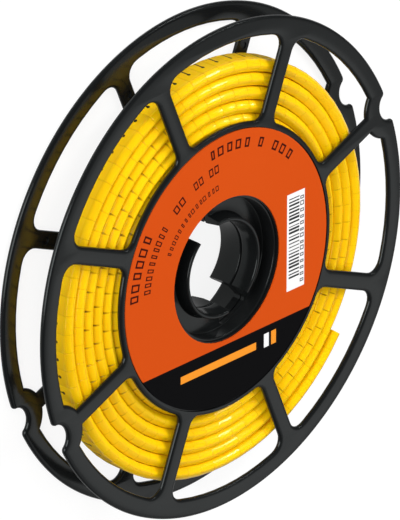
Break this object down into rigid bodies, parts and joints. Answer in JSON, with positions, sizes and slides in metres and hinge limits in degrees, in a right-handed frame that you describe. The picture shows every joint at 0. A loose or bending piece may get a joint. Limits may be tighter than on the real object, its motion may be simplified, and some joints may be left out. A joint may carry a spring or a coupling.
{
  "type": "cable marker reel",
  "caption": "Open spoked reel with a round label, wound with a strip of clip-on markers that are cut off and pushed over a wire.",
  "frame": {"origin": "centre of the bounding box's bottom, on the outer face of the rear flange", "axes": "+Z along the reel's axis towards the labelled face, +X to the right and +Y up as the label is read"},
  "size_m": [0.108, 0.108, 0.0126],
  "materials": {
    "black_plastic": "satin",
    "label_film": "satin",
    "yellow_plastic": "semi-gloss"
  },
  "bodies": {
    "root": {"front_flange": "black_plastic", "rear_flange": "black_plastic", "label": "label_film", "marker_strip": "yellow_plastic"}
  },
  "joints": []
}
